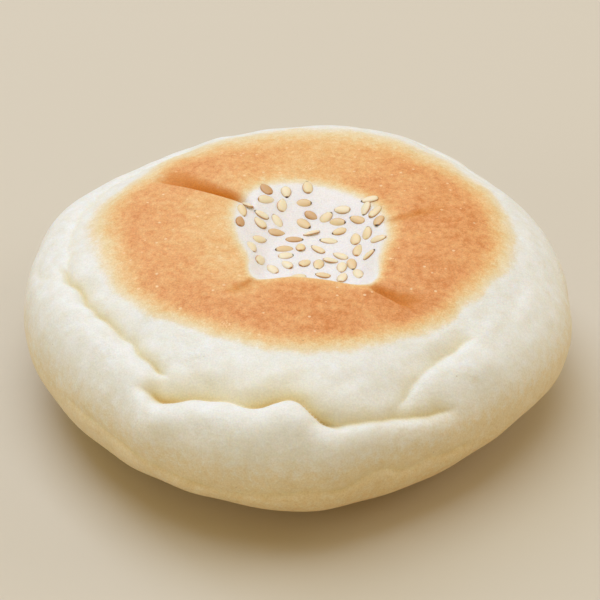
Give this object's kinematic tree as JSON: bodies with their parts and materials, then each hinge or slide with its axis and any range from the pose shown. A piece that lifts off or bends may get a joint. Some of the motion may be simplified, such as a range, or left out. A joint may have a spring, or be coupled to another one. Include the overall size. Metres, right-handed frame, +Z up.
{
  "type": "oyaki bun",
  "caption": "Flat round steamed and griddled dough bun with a browned ring round a pale dent dotted with sesame, and a soft folded side.",
  "frame": {"origin": "middle of the outline seen from above, on the surface that the bun stands on", "axes": "+Z up, -Y towards the side with the long folds, +X to its right"},
  "size_m": [0.103, 0.1072, 0.0332],
  "materials": {
    "dough": "matt steamed wheat dough, golden brown where the griddle pressed it",
    "sesame": "satin hulled sesame, pale tan with darker tips"
  },
  "bodies": {
    "root": {"bun": "dough"}
  },
  "joints": []
}
